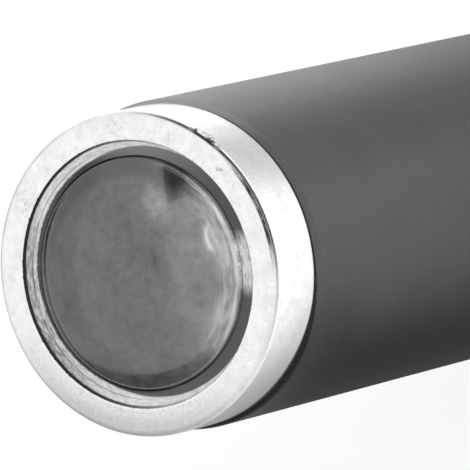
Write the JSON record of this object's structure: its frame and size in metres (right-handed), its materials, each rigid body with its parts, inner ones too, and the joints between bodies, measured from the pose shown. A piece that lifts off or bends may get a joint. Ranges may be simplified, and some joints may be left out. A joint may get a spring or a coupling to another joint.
{
  "type": "mini led flashlight",
  "caption": "Pocket flashlight: a slim grey tube with a bright bezel ring round a domed lens, a sliding focus head, a screw-off tail cap and a tail push button.",
  "frame": {"origin": "centre of the flat tail rim that the light stands on", "axes": "+Z along the tube's axis from the tail to the lens; +X and +Y across the tube, with the emitter board's screws on X and its lead wires on Y"},
  "size_m": [0.022, 0.022, 0.0994],
  "materials": {
    "bezel_metal": "bright satin plating, slightly mottled",
    "anodised_metal": "graphite grey, matte anodised",
    "turned_metal": "bare turned metal",
    "black_metal": "black anodised",
    "lens_glass": "clear moulded lens",
    "seal_rubber": "smooth silicone",
    "boot_rubber": "matte silicone",
    "board_white": "white solder mask",
    "board_green": "green solder mask",
    "emitter_silicone": "clear dome over a yellow die",
    "white_plastic": "moulded",
    "ivory_plastic": "moulded",
    "black_plastic": "moulded",
    "wire_cover": "smooth insulation",
    "ferrite": "sintered",
    "capacitor_ceramic": "fired ceramic",
    "wrap_film": "shrunk film",
    "plated_steel": "nickel plated",
    "gold_plated_steel": "gold plated spring wire",
    "brass_metal": "turned brass"
  },
  "bodies": {
    "body": {"body_tube": "anodised_metal", "light_engine": "turned_metal", "zoom_orings": "seal_rubber", "led_board": "board_white", "led_board_screws": "plated_steel", "led_emitter": "emitter_silicone", "led_centring_ring": "white_plastic", "led_wires": "wire_cover", "driver_board": "board_green", "driver_chip": "black_plastic", "driver_inductor": "ferrite", "driver_capacitors": "capacitor_ceramic", "front_contact_spring": "gold_plated_steel", "battery_cell": "plated_steel", "battery_wrap": "wrap_film", "battery_positive_cap": "plated_steel", "battery_washer": "white_plastic"},
    "head": {"bezel_ring": "bezel_metal", "lens": "lens_glass", "lens_seal": "seal_rubber", "lens_retaining_ring": "black_metal", "bezel_oring": "seal_rubber", "head_sleeve": "anodised_metal"},
    "tail_seal": {"tail_oring": "seal_rubber"},
    "tail": {"tail_cap": "anodised_metal", "button_boot": "boot_rubber", "boot_washer": "plated_steel", "switch_spacer": "ivory_plastic", "switch_body": "black_plastic", "switch_spring": "plated_steel", "switch_pins": "brass_metal", "switch_board": "board_green", "switch_retaining_ring": "brass_metal", "tail_spring": "gold_plated_steel"},
    "button": {"switch_plunger": "ivory_plastic"}
  },
  "joints": [
    {"name": "zoom_slide", "type": "slide", "parent": "body", "child": "head", "axis": [0, 0, 1], "range_m": [0, 0.008]},
    {"name": "tail_cap_travel", "type": "slide", "parent": "body", "child": "tail_seal", "axis": [0, 0, -1], "range_m": [0, 0.006]},
    {"name": "tail_cap_turn", "type": "hinge", "parent": "tail_seal", "child": "tail", "pos_m": [0, 0, 0], "axis": [0, 0, -1], "range_deg": [0, 2700]},
    {"name": "button_press", "type": "slide", "parent": "tail", "child": "button", "axis": [0, 0, 1], "range_m": [0, 0.0016], "stiffness_N_per_m": 1500, "deforming": ["button_boot", "switch_spring"]}
  ],
  "couplings": [
    {"joint": "tail_cap_travel", "follows": "tail_cap_turn", "m_per_rad": 0.00012732}
  ]
}
